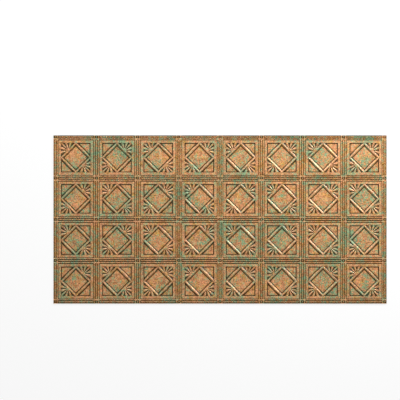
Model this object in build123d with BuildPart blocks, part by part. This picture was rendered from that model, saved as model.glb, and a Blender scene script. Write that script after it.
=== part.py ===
"""Vinyl ceiling tile: one thin thermoformed sheet with a pressed-tin pattern.

The face is a grid of square coffers. Each coffer holds a half-round diamond, with
pleated fans in two opposite corners and plain sunk panels in the other two. Reeded
bands part the coffers: three reeds each way, of which the two outer ones run through
every crossing and frame a small button. The back is the same relief from behind.
"""

import os
from math import asin, cos, radians, sin, sqrt, tan

from build123d import *

# The grid of coffers
pitch = 152.4  # from the middle of one band to the next: 6 inches
columns = 8
rows = 4
lap = 6.35  # what the sheet reaches past the middle of its outermost bands
sheet_thickness = 0.76  # measured upright, so the slopes are thinner, as on a drawn sheet

# Heights of the face
border_rise = 3.2  # the flat border round a coffer, above the coffer's floor
bar_drop = 0.2  # the crest of the diamond, below the border
petal_drop = 0.3  # the end of a fan's longest petal, below the border
channel_depth = 1.7  # the floor of a reeded band, below the border
reed_rise = 1.9  # a reed's crest, above the floor of its band
button_rise = 1.5  # the pointed button of a crossing, above the floor of its band

# Widths of the face
border_width = 8.65  # the flat border between a coffer and a band
coffer_wall_run = 1.4  # how far the coffer's wall leans out over its height
bar_width = 12.0  # the diamond's half-round bar
bar_facets = 5  # flats round that bar
petal_valleys = (13.0, 45.0, 90.0)  # degrees to each side of a fan's axis
petal_overlap = 1.2  # a petal's foot against its share of the fan
reed_pitch = 7.5  # from reed to reed across a band
reed_overlap = 0.5  # how far the feet of two reeds run into each other
channel_wall_run = 1.2  # how far a band's side wall leans out over its height

# How deep what stands on a floor reaches into it, so that the two are one solid
root = 0.05

# The sheet's outline, and the form: the solid under the face, which reaches past that outline
length = columns * pitch + 2 * lap
width = rows * pitch + 2 * lap
form_length = length + 2 * reed_pitch
form_width = width + 2 * reed_pitch
form_depth = 2 * border_rise

floor_z = sheet_thickness
border_z = floor_z + border_rise
channel_z = border_z - channel_depth

channel_floor = 3 * reed_pitch
channel_mouth = channel_floor + 2 * channel_wall_run
coffer_mouth = pitch - channel_mouth - 2 * border_width
coffer_side = coffer_mouth - 2 * coffer_wall_run

column_bands = [(i - columns / 2) * pitch for i in range(columns + 1)]
row_bands = [(j - rows / 2) * pitch for j in range(rows + 1)]
column_middles = [x + pitch / 2 for x in column_bands[:-1]]
row_middles = [y + pitch / 2 for y in row_bands[:-1]]


# The hollow of one coffer, with walls that lean out
with BuildPart() as coffer:
    for plane, mode in ((Plane.XZ, Mode.ADD), (Plane.YZ, Mode.INTERSECT)):
        with BuildSketch(plane):
            with BuildLine():
                Polyline(
                    (-coffer_side / 2, floor_z),
                    (coffer_side / 2, floor_z),
                    (coffer_mouth / 2, border_z),
                    (-coffer_mouth / 2, border_z),
                    close=True,
                )
            make_face()
        extrude(amount=coffer_mouth / 2, both=True, mode=mode)

# The bar of one diamond: its corners are on the middles of the coffer's sides
bar_middle = coffer_side / sqrt(2) / 2
bar_rise = border_rise - bar_drop
bar_radius = (bar_width**2 / 4 + bar_rise**2) / (2 * bar_rise)
bar_half_turn = asin(bar_width / 2 / bar_radius)
bar_section = []
for k in range(bar_facets + 1):
    turn = bar_half_turn * (1 - 2 * k / bar_facets)
    bar_section.append((bar_middle + bar_radius * sin(turn), border_z - bar_drop - bar_radius * (1 - cos(turn))))
with BuildPart() as diamond_bar:
    with BuildLine() as bar_path:
        Polyline(
            (bar_middle, 0, floor_z),
            (bar_middle, bar_middle, floor_z),
            (-bar_middle, bar_middle, floor_z),
            (-bar_middle, -bar_middle, floor_z),
            (bar_middle, -bar_middle, floor_z),
            close=True,
        )
    with BuildSketch(Plane.XZ):
        with BuildLine():
            inner = bar_middle - bar_width / 2
            outer = bar_middle + bar_width / 2
            Polyline((inner, floor_z - root), (outer, floor_z - root), *bar_section, close=True)
        make_face()
    sweep(path=bar_path.wires()[0], transition=Transition.RIGHT)

# A fan opens from the foot of the diamond's bar towards +X, the coffer's corner, and every
# petal runs into one of the two walls there, which stand at 45 degrees to either side.
hub_distance = bar_middle + bar_width / 2
wall_distance = coffer_side / 2 - hub_distance / sqrt(2)
longest_petal = (wall_distance + coffer_wall_run) * sqrt(2)
petal_slope = (border_rise - petal_drop) / longest_petal


def petal(low, high):
    """One pleat along +X, for the turns from low to high: a wedge that widens and rises."""
    middle = (low + high) / 2
    reach = max(
        (wall_distance + coffer_wall_run) * cos(radians(turn - middle)) / cos(radians(45 - abs(turn)))
        for turn in (low, middle, high)
    )
    half_foot = reach * tan(radians(high - middle)) * petal_overlap
    crest = Vector(reach, 0, reach * petal_slope)
    with BuildPart() as wedge:
        with BuildSketch():
            Polygon((0, 0), (reach, -half_foot), (reach, half_foot), align=None)
        extrude(amount=2 * crest.Z)
        for foot in (Vector(reach, -half_foot), Vector(reach, half_foot)):
            upward = crest.cross(foot) * (1 if foot.Y > 0 else -1)
            split(bisect_by=Plane((0, 0, 0), z_dir=upward), keep=Keep.BOTTOM)
    return wedge.part


valleys = [-turn for turn in reversed(petal_valleys)] + list(petal_valleys)
pleats = [((low + high) / 2, petal(low, high)) for low, high in zip(valleys, valleys[1:])]
with BuildPart() as fan:
    for turn, pleat in pleats:
        with Locations(Location((0, 0, 0), (0, 0, turn))):
            add(pleat)

# Two of a coffer's corners have a fan, and neighbouring coffers are mirror images.
fan_places = []
for i, x in enumerate(column_middles):
    for j, y in enumerate(row_middles):
        first = 135 if (i + j + rows) % 2 else 45
        for turn in (first, first + 180):
            hub = Vector(x, y) + Vector(hub_distance, 0).rotate(Axis.Z, turn)
            fan_places.append(Location((hub.X, hub.Y, floor_z), (0, 0, turn)))

# The centre reed of a band between two crossings, along X, with hipped ends
half_reed = (reed_pitch + reed_overlap) / 2
reed_ridge = pitch - 3 * reed_pitch - 2 * half_reed
with BuildPart() as centre_reed:
    with BuildSketch(Plane.YZ):
        Polygon(
            (-half_reed, channel_z - root), (half_reed, channel_z - root), (0, channel_z + reed_rise),
            align=None,
        )
    extrude(amount=pitch / 2, both=True)
    for end in (-1, 1):
        hip = Plane((end * reed_ridge / 2, 0, channel_z + reed_rise), z_dir=(end * reed_rise, 0, half_reed))
        split(bisect_by=hip, keep=Keep.BOTTOM)

# The button of a crossing: a low point that fills the cell between the outer reeds
half_button = reed_pitch - half_reed + reed_overlap
with BuildPart() as button:
    for plane, mode in ((Plane.XZ, Mode.ADD), (Plane.YZ, Mode.INTERSECT)):
        with BuildSketch(plane):
            Polygon(
                (-half_button, channel_z - root), (half_button, channel_z - root), (0, channel_z + button_rise),
                align=None,
            )
        extrude(amount=half_button, both=True, mode=mode)

# The form: border, sunk coffers and channels, then all that stands in them
band_runs = ((Plane.YZ, row_bands, form_length), (Plane.XZ, column_bands, form_width))
with BuildPart() as form:
    with BuildSketch(Plane.XY.offset(border_z - form_depth)):
        Rectangle(form_length, form_width)
    extrude(amount=form_depth)

    with GridLocations(pitch, pitch, columns, rows):
        add(coffer.part, mode=Mode.SUBTRACT)

    for plane, bands, run in band_runs:
        with BuildSketch(plane):
            with Locations(*[(band, channel_z) for band in bands]):
                half_floor = channel_floor / 2
                half_mouth = channel_mouth / 2
                Polygon(
                    (-half_floor, 0), (half_floor, 0), (half_mouth, channel_depth), (-half_mouth, channel_depth),
                    align=None,
                )
        extrude(amount=run / 2, both=True, mode=Mode.SUBTRACT)

    for plane, bands, run in band_runs:
        with BuildSketch(plane):
            for side in (-reed_pitch, reed_pitch):
                with Locations(*[(band + side, channel_z) for band in bands]):
                    Polygon((-half_reed, -root), (half_reed, -root), (0, reed_rise), align=None)
        extrude(amount=run / 2, both=True)

    with Locations(*[(x, y) for x in column_middles for y in row_bands]):
        add(centre_reed.part)
    with Locations(*[Location((x, y, 0), (0, 0, 90)) for x in column_bands for y in row_middles]):
        add(centre_reed.part)
    with Locations(*[(x, y) for x in column_bands for y in row_bands]):
        add(button.part)
    with Locations(*[Location((x, y, 0), (0, 0, 45)) for x in column_middles for y in row_middles]):
        add(diamond_bar.part)
    with Locations(*fan_places):
        add(fan.part)

# The sheet: the form cut to the tile's outline, less the same form one thickness lower
with BuildPart() as tile:
    add(form.part)
    with Locations((0, 0, border_z)):
        Box(length, width, 2 * form_depth, mode=Mode.INTERSECT)
    with Locations((0, 0, -sheet_thickness)):
        add(form.part, mode=Mode.SUBTRACT)

tile.part.label = "ceiling_tile"
os.makedirs("parts", exist_ok=True)
export_step(tile.part, "parts/ceiling_tile.step")
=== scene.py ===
"""The looks of the vinyl ceiling tile: rounded relief, an aged copper finish, floor, light and camera.

The relief repeats by mirror images, so its mesh is made for two small triangles, an eighth of a
coffer with a fan and an eighth without. They are mirrored into a whole coffer, and that is laid
out over the tile. Relief sizes are in millimetres, everything else is in metres.
"""

from math import cos, hypot, radians, sin, sqrt

import bpy
import numpy as np
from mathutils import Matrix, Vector
from mathutils.geometry import delaunay_2d_cdt


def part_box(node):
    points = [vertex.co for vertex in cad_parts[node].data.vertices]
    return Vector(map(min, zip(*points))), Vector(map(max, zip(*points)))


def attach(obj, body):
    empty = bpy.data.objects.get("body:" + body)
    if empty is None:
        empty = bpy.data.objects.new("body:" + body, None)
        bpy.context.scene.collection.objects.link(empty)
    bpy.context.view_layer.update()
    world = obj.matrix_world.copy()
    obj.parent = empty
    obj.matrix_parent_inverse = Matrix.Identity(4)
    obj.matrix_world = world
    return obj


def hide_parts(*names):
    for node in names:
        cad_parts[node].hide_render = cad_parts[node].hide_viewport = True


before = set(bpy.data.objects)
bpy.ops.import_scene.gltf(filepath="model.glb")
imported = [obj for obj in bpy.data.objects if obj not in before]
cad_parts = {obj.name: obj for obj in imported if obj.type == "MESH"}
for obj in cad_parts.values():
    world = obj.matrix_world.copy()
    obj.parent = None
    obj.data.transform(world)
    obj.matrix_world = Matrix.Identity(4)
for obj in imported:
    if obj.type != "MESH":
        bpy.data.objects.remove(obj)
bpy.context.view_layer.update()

MM = 0.001

# The grid: how many coffers it has, and its sizes, from the frame
COLUMNS = 8
ROWS = 4
LAP = 6.35  # what the sheet reaches past the middle of its outermost bands
TILE_LOW, TILE_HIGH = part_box("ceiling_tile")
LENGTH = (TILE_HIGH.x - TILE_LOW.x) / MM
WIDTH = (TILE_HIGH.y - TILE_LOW.y) / MM
PITCH = (LENGTH - 2 * LAP) / COLUMNS
HALF = PITCH / 2

# Heights of the relief
SHEET = 0.76  # the sheet's thickness, measured upright
BORDER_RISE = 3.2  # the flat border round a coffer, above the coffer's floor
BAR_RISE = 3.0  # the crest of the diamond's bar, above that floor
BOSS_RISE = 2.75  # the boss at the centre of a fan, above that floor
PETAL_RISE = (2.0, 3.0)  # the crest of a petal at the fan's centre and at the wall
CHANNEL_DEPTH = 1.7  # the floor of a reeded band, below the border
REED_RISE = 1.9  # the crest of a reed, above the floor of its band
BUTTON_RISE = 1.8  # the button of a crossing, above that floor
FLOOR_Z = SHEET
BORDER_Z = FLOOR_Z + BORDER_RISE
CHANNEL_Z = BORDER_Z - CHANNEL_DEPTH

# Widths of the relief
REEDS = 3  # side by side in a band
REED_PITCH = 7.5
HALF_REED = REED_PITCH / 2
REED_SHAPE = 2.2  # the higher, the flatter a reed's crest
CHANNEL_HALF = REEDS * HALF_REED
CHANNEL_WALL = 1.2  # how far the side wall of a band leans out
CHANNEL_MOUTH = CHANNEL_HALF + CHANNEL_WALL
BORDER_WIDTH = 8.65
COFFER_WALL = 1.4  # how far the wall of a coffer leans out
MOUTH = HALF - CHANNEL_MOUTH - BORDER_WIDTH  # from a coffer's middle to its rim
FLOOR = MOUTH - COFFER_WALL  # from a coffer's middle to the foot of its wall
BAR_HALF = 6.0
BAR_ROUND = 1.0  # the rounding of the bar's crest: its flanks below are almost flat
BAR_FALL = hypot(BAR_HALF, BAR_ROUND) - BAR_ROUND
CENTRE_REED_STOP = 9.6  # from a crossing to the end of a centre reed, under the reed that crosses it
BUTTON_RADIUS = 3.7
BUTTON_SHAPE = 3.5  # the higher, the flatter the button

# The fans: their centres are on the middle line of the bar, and turns are in degrees off their axis
FAN_BEARING = 45  # of a fan's axis, towards the coffer's corner
HUB = FLOOR / 2  # both coordinates of a fan's centre
WALL_DISTANCE = FLOOR - HUB
BOSS_RADIUS = 11.0
BOSS_SHAPE = 3.5  # the higher, the flatter the boss and the steeper its edge
PETALS = ((0.0, 12.5), (27.75, 15.25), (60.0, 17.0))  # the middle and half the spread of each
PETAL_SHAPE = 1.6  # the higher, the rounder a petal's crest

# Grime and painted shade, against the depth of a groove: the bands by their own depth, fans and walls
# by their surroundings, and a line of painted shade just outside each foot of the bar; a painted
# highlight where two reeds cross
GROOVE_REACH = 2.8  # how far those surroundings reach
GROOVE_TURNS = 12  # directions in which they are looked at
# grime and painted shade in hollows by the walls, and paler film on their crests
WALL_GRIME_AND_SHADE = 1.2
# grime and painted shade in the hollows of a fan, and paler film on its crests
FAN_GRIME_AND_SHADE = 1.05
FAN_SHADE = 0.14  # painted shade, on a fan all over
BAND_SHADE = (0.34, 0.70)  # painted shade in the bands across the tile, and in those along it
KNOT_HIGHLIGHT = 0.9  # painted highlight: where two reeds cross, the film is painted pale
# a line of painted shade just outside each foot of the bar
BAR_SHADE = 0.98
BAR_SHADE_LINE = (0.9, 2.3)  # from the bar's foot out to the middle of its line of painted shade, and half the line's width


def ease(share):
    """A smooth step from 0 to 1."""
    share = np.clip(share, 0, 1)
    return share * share * (3 - 2 * share)


def reed(off):
    """The height of a reed at a distance off its crest."""
    share = np.clip(np.abs(off) / HALF_REED, 0, 1)
    return CHANNEL_Z + REED_RISE * (1 - share**REED_SHAPE)


def fan(x, y):
    """The height of a fan's boss and petals, for the eighth of a coffer where 0 <= y <= x."""
    along = (x + y - 2 * HUB) / sqrt(2)
    aside = (x - y) / sqrt(2)
    distance = np.hypot(along, aside)
    turn = np.degrees(np.arctan2(aside, along))
    height = BOSS_RISE * (1 - np.clip(distance / BOSS_RADIUS, 0, 1) ** BOSS_SHAPE)
    low, high = PETAL_RISE
    crest = low + (high - low) * (x - HUB) / WALL_DISTANCE
    for middle, spread in PETALS:
        share = np.clip(np.abs(turn - middle) / spread, 0, 1)
        height = np.maximum(height, crest * (1 - share**PETAL_SHAPE))
    return FLOOR_Z + height


def relief(x, y):
    """The height of the face at points of a coffer, from its middle, with fans where x * y > 0."""
    has_fan = x * y > 0
    x, y = np.abs(x), np.abs(y)
    x = np.where(x > HALF, PITCH - x, x)
    y = np.where(y > HALF, PITCH - y, y)
    x, y = np.maximum(x, y), np.minimum(x, y)
    u, v = HALF - x, HALF - y

    ground = CHANNEL_Z + CHANNEL_DEPTH * ease((u - CHANNEL_HALF) / CHANNEL_WALL)
    ground = ground - BORDER_RISE * ease((MOUTH - x) / COFFER_WALL)
    outer_reeds = np.maximum(reed(u - REED_PITCH), reed(v - REED_PITCH))
    centre_reed = reed(np.hypot(u, np.clip(CENTRE_REED_STOP + HALF_REED - v, 0, None)))
    button_share = np.clip(np.hypot(u, v) / BUTTON_RADIUS, 0, 1)
    button = CHANNEL_Z + BUTTON_RISE * (1 - button_share**BUTTON_SHAPE)
    bands = np.maximum(np.maximum(outer_reeds, centre_reed), button)
    height = np.where(u < CHANNEL_HALF, np.maximum(ground, bands), ground)

    off_bar = (x + y - FLOOR) / sqrt(2)
    bar = FLOOR_Z + BAR_RISE * (1 - (np.hypot(off_bar, BAR_ROUND) - BAR_ROUND) / BAR_FALL)
    in_coffer = x < MOUTH
    height = np.where(in_coffer & (np.abs(off_bar) < BAR_HALF), np.maximum(height, bar), height)
    in_corner = in_coffer & has_fan & (off_bar > 0)
    return np.where(in_corner, np.maximum(height, fan(x, y)), height)


def hollow(x, y):
    """How far points of a coffer lie below their surroundings."""
    turns = np.linspace(0, 2 * np.pi, GROOVE_TURNS, endpoint=False)
    steps = [(GROOVE_REACH * np.cos(turn), GROOVE_REACH * np.sin(turn)) for turn in turns]
    around = sum(relief(x + step_x, y + step_y) for step_x, step_y in steps) / GROOVE_TURNS
    return around - relief(x, y)


def painted_shade_and_grime(x, y):
    """How dark or pale points of a coffer are painted: above 0 in grooves, for grime and painted
    shade; below 0 on crests, and for painted highlights where two reeds cross.
    """
    height = relief(x, y)
    depth = hollow(x, y)
    has_fan = x * y > 0
    upright = np.abs(x) > np.abs(y)
    x, y = np.maximum(np.abs(x), np.abs(y)), np.minimum(np.abs(x), np.abs(y))
    off_bar = (x + y - FLOOR) / sqrt(2)
    line_middle, line_half = BAR_SHADE_LINE

    # grime and painted shade in hollows by the walls, paler film on crests
    wall_line = WALL_GRIME_AND_SHADE * depth
    # a line of painted shade just outside each foot of the bar
    bar_line = BAR_SHADE * (1 - np.abs(np.abs(off_bar) - BAR_HALF - line_middle) / line_half)
    # grime and painted shade in the fan's hollows, and painted shade over the whole fan
    fan_line = FAN_GRIME_AND_SHADE * depth + FAN_SHADE * (off_bar > BAR_HALF)
    # painted shade in the bands, by their depth, more in those along the tile
    band_line = np.where(upright, *BAND_SHADE) * (CHANNEL_Z + REED_RISE - height)
    # a painted highlight where two reeds cross
    from_knot = np.hypot(HALF - x - REED_PITCH, HALF - y - REED_PITCH)
    band_line = band_line - KNOT_HIGHLIGHT * np.clip(1 - from_knot / HALF_REED, 0, 1)

    at_band = x > HALF - CHANNEL_MOUTH
    at_fan = has_fan & (off_bar > 0) & (x < MOUTH)
    at_bar = (np.abs(off_bar) < BAR_HALF + line_half) & (x < FLOOR)
    places = [at_band, at_fan, at_bar]
    return np.select(places, [band_line, fan_line, np.maximum(bar_line, wall_line)], wall_line)


# The lines along which the mesh bends, in the eighth of a coffer where 0 <= y <= x <= HALF.
# Rows of bands and of the border's outer edge are distances from the middle of the band, rows of
# the wall and the rim are distances from the coffer's middle, and rows of the bar are off its crest.
REED_FLANK = 2.7  # off a reed's crest
BAND_ROWS = (
    0, 1.4, REED_FLANK, HALF_REED,
    REED_PITCH - REED_FLANK, LAP, REED_PITCH, 8.8, REED_PITCH + REED_FLANK, CHANNEL_HALF,
    CHANNEL_HALF + CHANNEL_WALL / 2, CHANNEL_MOUTH,
)
REED_END = 13.4  # where the round end of a centre reed starts
BORDER_ROWS = (CHANNEL_MOUTH + 0.5, CHANNEL_MOUTH + 2.55)
RIM_ROWS = (MOUTH + 2.6, MOUTH + 0.5)
WALL_ROWS = (MOUTH, (MOUTH + FLOOR) / 2, FLOOR)
BAR_SIDE = (0.8, 1.8, 3.6, 5.2, BAR_HALF)
LINE_ROWS = (BAR_HALF + 1.4, BAR_HALF + sum(BAR_SHADE_LINE))  # along the line of painted shade at the bar's foot
BAR_ROWS = (*(-row for row in reversed(BAR_SIDE + LINE_ROWS)), 0, *BAR_SIDE)
BAR_END = 1.4  # from the bar's mitre, and from the foot of the wall, to a row across the bar
PLAIN_END = 3.2  # from the foot of the wall to a row in a corner without a fan
FAN_SHARES = (-1, -0.7, -0.36, 0, 0.36, 0.7, 1)  # rays of a petal, by its half spread
FAN_RADII = (7.5, 9.4, BOSS_RADIUS, 13, 18)
BOSS_RADII = (3.2, 5.6)
BOSS_TURNS = (0, 15, 30, 45, 60, 72)
BACK_BAND_ROWS = (0, HALF_REED, LAP, REED_PITCH, CHANNEL_HALF, CHANNEL_MOUTH)
BACK_BAR_ROWS = (-BAR_HALF, -BAR_HALF / 2, 0, BAR_HALF / 2, BAR_HALF)
BACK_FAN_SHARES = (-1, -0.5, 0, 0.5, 1)
BACK_FAN_RADII = (8.5, BOSS_RADIUS, 18)


def band_lines(rows):
    """Rows along the band on the right and, where two bands cross, across it, and rows of the wall."""
    lines = [[(0, 0), (HALF, 0), (HALF, HALF), (0, 0)]]
    for row in rows:
        lines.append([(HALF - row, 0), (HALF - row, HALF - row), (HALF, HALF - row)])
    lines.append([(HALF - HALF_REED, HALF - REED_END), (HALF, HALF - REED_END)])
    for row in WALL_ROWS:
        lines.append([(row, 0), (row, row)])
    crossing = HALF - REED_PITCH
    lines.append([(crossing, crossing), (crossing + HALF_REED, crossing - HALF_REED)])
    return lines


def border_lines():
    """Rows beside the edges of the border."""
    rows = [HALF - row for row in BORDER_ROWS] + list(RIM_ROWS)
    return [[(row, 0), (row, row)] for row in rows]


def bar_lines(rows):
    """Rows along the diamond's bar, from the rim or the middle of a side to the diagonal."""
    lines = []
    for row in rows:
        total = FLOOR + row * sqrt(2)
        start = (total, 0) if total < MOUTH else (MOUTH, total - MOUTH)
        lines.append([start, (total / 2, total / 2)])
    return lines


def end_lines():
    """Rows across the bar and the fan, close to the bar's mitre and to the foot of the wall."""
    inner = FLOOR - sqrt(2) * BAR_HALF
    outer = FLOOR - BAR_END
    return [[(inner, BAR_END), (outer, BAR_END)], [(outer, BAR_END), (outer, outer)]]


def plain_lines():
    """A row beside the foot of the wall, in a corner without a fan."""
    foot = FLOOR + sqrt(2) * BAR_HALF
    row = FLOOR - PLAIN_END
    return [[(row, foot - row), (row, row)]]


def fan_point(turn, distance):
    """A point of a fan, from its centre."""
    bearing = radians(FAN_BEARING - turn)
    return (HUB + distance * cos(bearing), HUB + distance * sin(bearing))


def fan_lines(shares, radii):
    """Rays of the fan's petals, from the boss to the top of the wall, and arcs across them."""
    turns = sorted({middle + share * spread for middle, spread in PETALS for share in shares})
    turns = [turn for turn in turns if turn >= 0]
    lines = []
    for turn in turns:
        reach = (MOUTH - HUB) / cos(radians(FAN_BEARING - turn))
        lines.append([fan_point(turn, radii[0]), fan_point(turn, reach)])
    for distance in radii:
        lines.append([fan_point(turn, distance) for turn in turns])
    return lines


def boss_lines():
    """Arcs round the top of the fan's boss."""
    return [[fan_point(turn, distance) for turn in BOSS_TURNS] for distance in BOSS_RADII]


# How the mesh is joined
WHOLE_HULL = 0  # the kind of triangulation that fills the lines' convex hull
SNAP = 1e-4  # points of an eighth that lie this close are one
LEAST_AREA = 1e-6  # a triangle whose doubled area is less is left out
WELD_DIGITS = 2  # points of neighbouring coffers are one if they agree to this many decimals
BEARING_SLACK = 1e-7  # radians within which two bearings are the same
SHARP_EDGE = 26.0  # degrees between two faces from which their edge stays sharp


def doubled_area(points, faces):
    """Twice the area of triangles seen from above: below 0 where they turn clockwise."""
    a, b, c = (points[faces[:, k]] for k in range(3))
    return (b[:, 0] - a[:, 0]) * (c[:, 1] - a[:, 1]) - (c[:, 0] - a[:, 0]) * (b[:, 1] - a[:, 1])


def triangulate(lines):
    """Points and triangles of the eighth of a coffer, with the lines as edges."""
    points, edges = [], []
    for line in lines:
        first = len(points)
        points += [Vector(point) for point in line]
        edges += [(first + k, first + k + 1) for k in range(len(line) - 1)]
    flat, _, faces, *_ = delaunay_2d_cdt(points, edges, [], WHOLE_HULL, SNAP)
    flat = np.array([tuple(point) for point in flat])
    faces = np.array([face for face in faces if len(face) == 3])
    return flat, faces[np.abs(doubled_area(flat, faces)) > LEAST_AREA]


def coffer(fan_eighth, plain_eighth):
    """A whole coffer from its two eighths: fans where x * y > 0, plain panels in the other corners."""
    points, faces = [], []
    for sign in (1, -1):
        for (flat, corners), side in ((fan_eighth, 1), (plain_eighth, -1)):
            placed = flat * (sign, sign * side)
            for turned in (placed, placed[:, ::-1]):
                faces.append(corners + sum(len(p) for p in points))
                points.append(turned)
    return np.concatenate(points), np.concatenate(faces)


def lay_out(flat, faces):
    """The coffer repeated by mirror images past the tile's edges, then cut to its outline.

    Gives the points, the triangles and, for each point, its place in its own coffer.
    """
    points, corners, local = [], [], []
    for column in range(-1, COLUMNS + 1):
        for row in range(-1, ROWS + 1):
            mirror = 1 if (column + row) % 2 == 0 else -1
            middle = ((column - (COLUMNS - 1) / 2) * PITCH, (row - (ROWS - 1) / 2) * PITCH)
            corners.append(faces + len(flat) * len(points))
            points.append(flat * (mirror, 1) + middle)
            local.append(flat)
    points, corners, local = np.concatenate(points), np.concatenate(corners), np.concatenate(local)

    centres = points[corners].mean(axis=1)
    inside = (np.abs(centres[:, 0]) < LENGTH / 2) & (np.abs(centres[:, 1]) < WIDTH / 2)
    corners = corners[inside]

    rounded = np.round(points, WELD_DIGITS)
    _, first, same = np.unique(rounded, axis=0, return_index=True, return_inverse=True)
    same = same.reshape(-1)[corners]
    used, same = np.unique(same, return_inverse=True)
    kept = first[used]
    corners = same.reshape(-1, 3)
    turned = doubled_area(points[kept], corners) < 0
    corners[turned] = corners[turned][:, ::-1]
    return points[kept], corners, local[kept]


def rim_loop(points, faces):
    """The points on the outline, in their order round the tile, and their bearings."""
    edges = np.sort(np.concatenate([faces[:, [0, 1]], faces[:, [1, 2]], faces[:, [2, 0]]]), axis=1)
    edges, count = np.unique(edges, axis=0, return_counts=True)
    rim = np.unique(edges[count == 1])
    bearings = np.arctan2(points[rim, 1], points[rim, 0])
    order = np.argsort(bearings)
    return rim[order], bearings[order]


def cut_edge(face_rim, face_bearings, back_rim, back_bearings):
    """The triangles between the rims: each point of the face stands over the last one of the back."""
    below = back_rim[np.searchsorted(back_bearings, face_bearings + BEARING_SLACK) - 1]
    after, below_after = np.roll(face_rim, -1), np.roll(below, -1)
    upper = np.column_stack([face_rim, below, after])
    lower = np.column_stack([after, below, below_after])
    return np.concatenate([upper, lower[below != below_after]])


def make_tile():
    """The sheet: its face, its back one thickness lower, and the cut edge between them."""
    shared = band_lines(BAND_ROWS) + border_lines() + bar_lines(BAR_ROWS) + end_lines()
    face_eighths = (
        triangulate(shared + fan_lines(FAN_SHARES, FAN_RADII) + boss_lines()),
        triangulate(shared + bar_lines(LINE_ROWS) + plain_lines()),
    )
    back_shared = band_lines(BACK_BAND_ROWS) + bar_lines(BACK_BAR_ROWS)
    back_eighths = (
        triangulate(back_shared + fan_lines(BACK_FAN_SHARES, BACK_FAN_RADII)),
        triangulate(back_shared),
    )
    face_points, face_faces, face_local = lay_out(*coffer(*face_eighths))
    back_points, back_faces, back_local = lay_out(*coffer(*back_eighths))

    face = np.column_stack([face_points, relief(*face_local.T)])
    back = np.column_stack([back_points, relief(*back_local.T) - SHEET])
    points = np.concatenate([face, back])
    first_back = len(face_points)
    back_rim, back_bearings = rim_loop(back_points, back_faces)
    edge_faces = cut_edge(*rim_loop(face_points, face_faces), back_rim + first_back, back_bearings)
    faces = np.concatenate([face_faces, back_faces[:, ::-1] + first_back, edge_faces])

    mesh = bpy.data.meshes.new("ceiling_tile_sheet")
    mesh.from_pydata((points * MM).tolist(), [], faces.tolist())
    mesh.polygons.foreach_set("use_smooth", np.ones(len(faces), bool))
    mesh.set_sharp_from_angle(angle=radians(SHARP_EDGE))

    # the film's grime, painted shade, paler crests and painted highlights, point by point
    grooves = np.zeros(len(points))
    grooves[:first_back] = painted_shade_and_grime(*face_local.T)
    mesh.attributes.new("groove", "FLOAT", "POINT").data.foreach_set("value", grooves)
    on_back = np.zeros(len(points))
    on_back[first_back:] = 1
    mesh.attributes.new("back", "FLOAT", "POINT").data.foreach_set("value", on_back)

    tile = bpy.data.objects.new("ceiling_tile_sheet", mesh)
    bpy.context.scene.collection.objects.link(tile)
    return tile


# Colours of the film, on flats, on crests and in painted highlights, in shallow grooves and in deep
# ones, where they stand for stain, grime and painted shade, and of the bare back
COPPER = (0.58, 0.296, 0.140, 1)
RED_COPPER = (0.675, 0.258, 0.111, 1)
OCHRE = (0.50, 0.280, 0.045, 1)
VERDIGRIS = (0.168, 0.266, 0.142, 1)
PALE_COPPER = (0.64, 0.45, 0.27, 1)
STAIN_AND_SHADE_BROWN = (0.225, 0.10, 0.006, 1)
STAIN_AND_SHADE_GREEN = (0.075, 0.120, 0.058, 1)
GRIME_AND_SHADE_BROWN = (0.045, 0.019, 0.003, 1)
GRIME_AND_SHADE_GREEN = (0.024, 0.032, 0.011, 1)
BACK_GREY = (0.42, 0.40, 0.37, 1)
BACK_SHADE = (0.34, 0.32, 0.29, 1)

# Noise of the mottling, from coarse to fine: its scale, its detail and the roughness of that detail
DRIFT = (6.5, 2, 0.5)
PATCHES = (18, 3, 0.55)
GOLD = (50, 5, 0.75)
BLOTCHES = (75, 3, 0.6)
EMBERS = (190, 4, 0.6)
TONES = (230, 4, 0.7)
SPECKLE = (270, 4, 0.65)

# What each noise counts for in the cover of verdigris, and the blotches in the tones
PATCHES_IN_COVER = 0.55
BLOTCHES_IN_COVER = 0.95
SPECKLE_IN_COVER = 1.3
DRIFT_IN_COVER = 0.5
BLOTCHES_IN_TONES = 0.6

# Ranges: the lowest and highest value that count and, where it isn't 0 to 1, what they become
RED_RANGE = (0.39, 0.6)
OCHRE_RANGE = (0.47, 0.66, 0, 0.85)
GREEN_RANGE = (1.625, 1.79)
TONE_RANGE = (0.64, 0.96, 0.4, 1.6)
STAIN_AND_SHADE_RANGE = (0, 0.3, 0, 0.7)
GRIME_AND_SHADE_RANGE = (0.12, 0.7, 0, 0.97)
PALE_RANGE = (-0.1, -0.8, 0, 0.5)
BACK_RANGE = (0.35, 0.65)
ROUGHNESS_RANGE = (0.35, 0.65, 0.26, 0.36)

METALLIC = 0.12
SPECULAR = 0.29
BUMP_STRENGTH = 0.15
BUMP_HEIGHT = 0.0006


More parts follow.
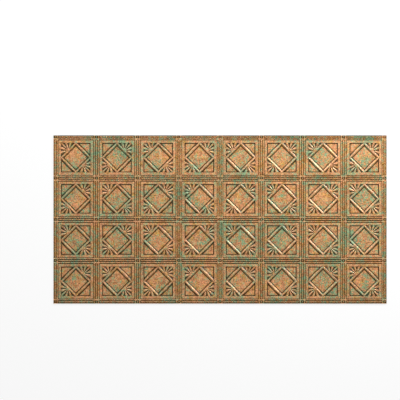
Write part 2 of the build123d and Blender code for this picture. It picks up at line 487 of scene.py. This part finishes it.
class Nodes:
    """Short ways to add and join the nodes of one material."""

    def __init__(self, material):
        material.use_nodes = True
        self.tree = material.node_tree
        self.tree.nodes.clear()

    def add(self, kind, **settings):
        """A new node, with its properties set."""
        node = self.tree.nodes.new("ShaderNode" + kind)
        for name, value in settings.items():
            setattr(node, name, value)
        return node

    def join(self, start, end):
        """A link from an output to an input."""
        self.tree.links.new(start, end)

    def noise(self, coordinates, scale, detail, roughness):
        """Noise over the tile, as a value around 0.5."""
        node = self.add("TexNoise")
        node.inputs["Scale"].default_value = scale
        node.inputs["Detail"].default_value = detail
        node.inputs["Roughness"].default_value = roughness
        self.join(coordinates, node.inputs["Vector"])
        return node.outputs["Fac"]

    def stretch(self, value, low, high, to_low=0.0, to_high=1.0):
        """A value's range from low to high, stretched to another range and kept within it."""
        node = self.add("MapRange")
        node.inputs["From Min"].default_value = low
        node.inputs["From Max"].default_value = high
        node.inputs["To Min"].default_value = to_low
        node.inputs["To Max"].default_value = to_high
        self.join(value, node.inputs["Value"])
        return node.outputs["Result"]

    def mix(self, share, first, second):
        """Two colours, each a constant or an output, mixed by a share."""
        node = self.add("Mix", data_type="RGBA")
        self.join(share, node.inputs["Factor"])
        for name, colour in (("A", first), ("B", second)):
            socket = next(s for s in node.inputs if s.name == name and s.type == "RGBA")
            if isinstance(colour, tuple):
                socket.default_value = colour
            else:
                self.join(colour, socket)
        return next(s for s in node.outputs if s.type == "RGBA")

    def math(self, operation, first, second):
        """Two values, each a constant or an output, joined by an operation."""
        node = self.add("Math", operation=operation)
        for socket, value in zip(node.inputs, (first, second)):
            if isinstance(value, (int, float)):
                socket.default_value = value
            else:
                self.join(value, socket)
        return node.outputs[0]

    def total(self, *shares):
        """The sum of values, each times its own factor."""
        products = [self.math("MULTIPLY", value, factor) for value, factor in shares]
        total = products[0]
        for product in products[1:]:
            total = self.math("ADD", total, product)
        return total


def mottled_film(nodes, coordinates, speckle):
    """The colour of the film on the flats, and the share of verdigris in it."""
    drift = nodes.noise(coordinates, *DRIFT)
    patches = nodes.noise(coordinates, *PATCHES)
    blotches = nodes.noise(coordinates, *BLOTCHES)
    embers = nodes.noise(coordinates, *EMBERS)
    gold = nodes.noise(coordinates, *GOLD)
    tones = nodes.total((nodes.noise(coordinates, *TONES), 1), (blotches, BLOTCHES_IN_TONES))
    cover = nodes.total(
        (patches, PATCHES_IN_COVER),
        (blotches, BLOTCHES_IN_COVER),
        (speckle, SPECKLE_IN_COVER),
        (drift, DRIFT_IN_COVER),
    )
    green = nodes.stretch(cover, *GREEN_RANGE)

    copper = nodes.mix(nodes.stretch(embers, *RED_RANGE), COPPER, RED_COPPER)
    copper = nodes.mix(nodes.stretch(gold, *OCHRE_RANGE), copper, OCHRE)
    shade = nodes.add("HueSaturation")
    nodes.join(nodes.mix(green, copper, VERDIGRIS), shade.inputs["Color"])
    nodes.join(nodes.stretch(tones, *TONE_RANGE), shade.inputs["Value"])
    return shade.outputs["Color"], green


def aged_copper():
    """A printed film of mottled copper and verdigris, dark in the grooves from stain, grime and
    painted shade, and pale on the crests, with painted highlights where two reeds cross.
    """
    material = bpy.data.materials.new("aged_copper_vinyl")
    nodes = Nodes(material)
    coordinates = nodes.add("TexCoord").outputs["Object"]
    groove = nodes.add("Attribute", attribute_name="groove").outputs["Fac"]
    back = nodes.add("Attribute", attribute_name="back").outputs["Fac"]
    speckle = nodes.noise(coordinates, *SPECKLE)

    film, green = mottled_film(nodes, coordinates, speckle)
    # stain and painted shade in shallow grooves, grime and painted shade in deep ones, paler crests
    # and painted highlights where two reeds cross
    stain_and_shade = nodes.mix(green, STAIN_AND_SHADE_BROWN, STAIN_AND_SHADE_GREEN)
    grime_and_shade = nodes.mix(green, GRIME_AND_SHADE_BROWN, GRIME_AND_SHADE_GREEN)
    film = nodes.mix(nodes.stretch(groove, *STAIN_AND_SHADE_RANGE), film, stain_and_shade)
    film = nodes.mix(nodes.stretch(groove, *GRIME_AND_SHADE_RANGE), film, grime_and_shade)
    film = nodes.mix(nodes.stretch(groove, *PALE_RANGE), film, PALE_COPPER)
    bare = nodes.mix(nodes.stretch(speckle, *BACK_RANGE), BACK_GREY, BACK_SHADE)

    shader = nodes.add("BsdfPrincipled")
    nodes.join(nodes.mix(back, film, bare), shader.inputs["Base Color"])
    nodes.join(nodes.stretch(speckle, *ROUGHNESS_RANGE), shader.inputs["Roughness"])
    shader.inputs["Metallic"].default_value = METALLIC
    shader.inputs["Specular IOR Level"].default_value = SPECULAR
    bump = nodes.add("Bump")
    bump.inputs["Strength"].default_value = BUMP_STRENGTH
    bump.inputs["Distance"].default_value = BUMP_HEIGHT
    nodes.join(speckle, bump.inputs["Height"])
    nodes.join(bump.outputs["Normal"], shader.inputs["Normal"])
    output = nodes.add("OutputMaterial")
    nodes.join(shader.outputs["BSDF"], output.inputs["Surface"])
    return material


# Stage
FLOOR_SIZE = 12.0
FLOOR_DROP = 0.0002  # keeps the floor apart from the undersides that rest on it
FLOOR_WHITE = (0.9, 0.9, 0.9, 1)
SHADOW_SHARE = 0.2  # how much of the floor's own shading the camera sees

# Light: the place of each lamp, the point that it looks at, its size and its power in watts
KEY_LAMP = ((1.2, 0.98, 0.95), (0.2, 0.1, 0), 0.6, 26)
FILL_LAMP = ((-0.5, 1.5, 1.4), (-0.1, 0, 0), 1.4, 30)
WORLD_WHITE = (1, 1, 1, 1)
WORLD_STRENGTH = 0.375

# The photograph: 400 pixels each way, straight from above, with the tile right of and below the middle
PIXELS = 400
TILE_PIXELS = 333.0
TILE_MIDDLE = (220.0, 219.5)
LENS = 200.0  # millimetres: long, so that the tile's edges stay square


def pale_floor():
    """A white floor that keeps a soft shadow."""
    material = bpy.data.materials.new("pale_floor")
    nodes = Nodes(material)
    rays = nodes.add("LightPath").outputs
    seen = nodes.math("MAXIMUM", rays["Is Camera Ray"], rays["Is Glossy Ray"])
    seen = nodes.math("MAXIMUM", seen, rays["Is Transmission Ray"])
    diffuse = nodes.add("BsdfDiffuse")
    diffuse.inputs["Color"].default_value = FLOOR_WHITE
    glow = nodes.add("Emission")
    blend = nodes.add("MixShader")
    nodes.join(nodes.math("MULTIPLY", seen, 1 - SHADOW_SHARE), blend.inputs["Fac"])
    nodes.join(diffuse.outputs["BSDF"], blend.inputs[1])
    nodes.join(glow.outputs["Emission"], blend.inputs[2])
    output = nodes.add("OutputMaterial")
    nodes.join(blend.outputs["Shader"], output.inputs["Surface"])
    return material


def make_floor():
    """The surface that the tile lies on."""
    half = FLOOR_SIZE / 2
    mesh = bpy.data.meshes.new("floor")
    corners = [(-half, -half), (half, -half), (half, half), (-half, half)]
    mesh.from_pydata([(x, y, -FLOOR_DROP) for x, y in corners], [], [(0, 1, 2, 3)])
    mesh.materials.append(pale_floor())
    floor = bpy.data.objects.new("floor", mesh)
    bpy.context.scene.collection.objects.link(floor)


def area_light(name, place, target, size, power):
    """A soft square lamp that looks at a point of the tile."""
    lamp = bpy.data.lights.new(name, "AREA")
    lamp.size = size
    lamp.energy = power
    light = bpy.data.objects.new(name, lamp)
    light.location = place
    light.rotation_euler = (Vector(target) - Vector(place)).to_track_quat("-Z", "Y").to_euler()
    bpy.context.scene.collection.objects.link(light)


def light_world():
    """Even white light from all round."""
    world = bpy.data.worlds.new("studio")
    world.use_nodes = True
    background = world.node_tree.nodes["Background"]
    background.inputs["Color"].default_value = WORLD_WHITE
    background.inputs["Strength"].default_value = WORLD_STRENGTH
    bpy.context.scene.world = world


def make_camera():
    """A camera straight above, whose frame holds the tile as the photograph does."""
    pixel = LENGTH * MM / TILE_PIXELS
    camera = bpy.data.objects.new("camera", bpy.data.cameras.new("camera"))
    camera.data.lens = LENS
    right = TILE_MIDDLE[0] - PIXELS / 2
    down = TILE_MIDDLE[1] - PIXELS / 2
    height = PIXELS * pixel * LENS / camera.data.sensor_width
    camera.location = (-right * pixel, down * pixel, height)
    bpy.context.scene.collection.objects.link(camera)
    bpy.context.scene.camera = camera


tile = make_tile()
tile.data.materials.append(aged_copper())
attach(tile, "root")
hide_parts("ceiling_tile")

make_floor()
make_camera()
area_light("key", *KEY_LAMP)
area_light("fill", *FILL_LAMP)
light_world()
bpy.context.scene.view_settings.view_transform = "Standard"
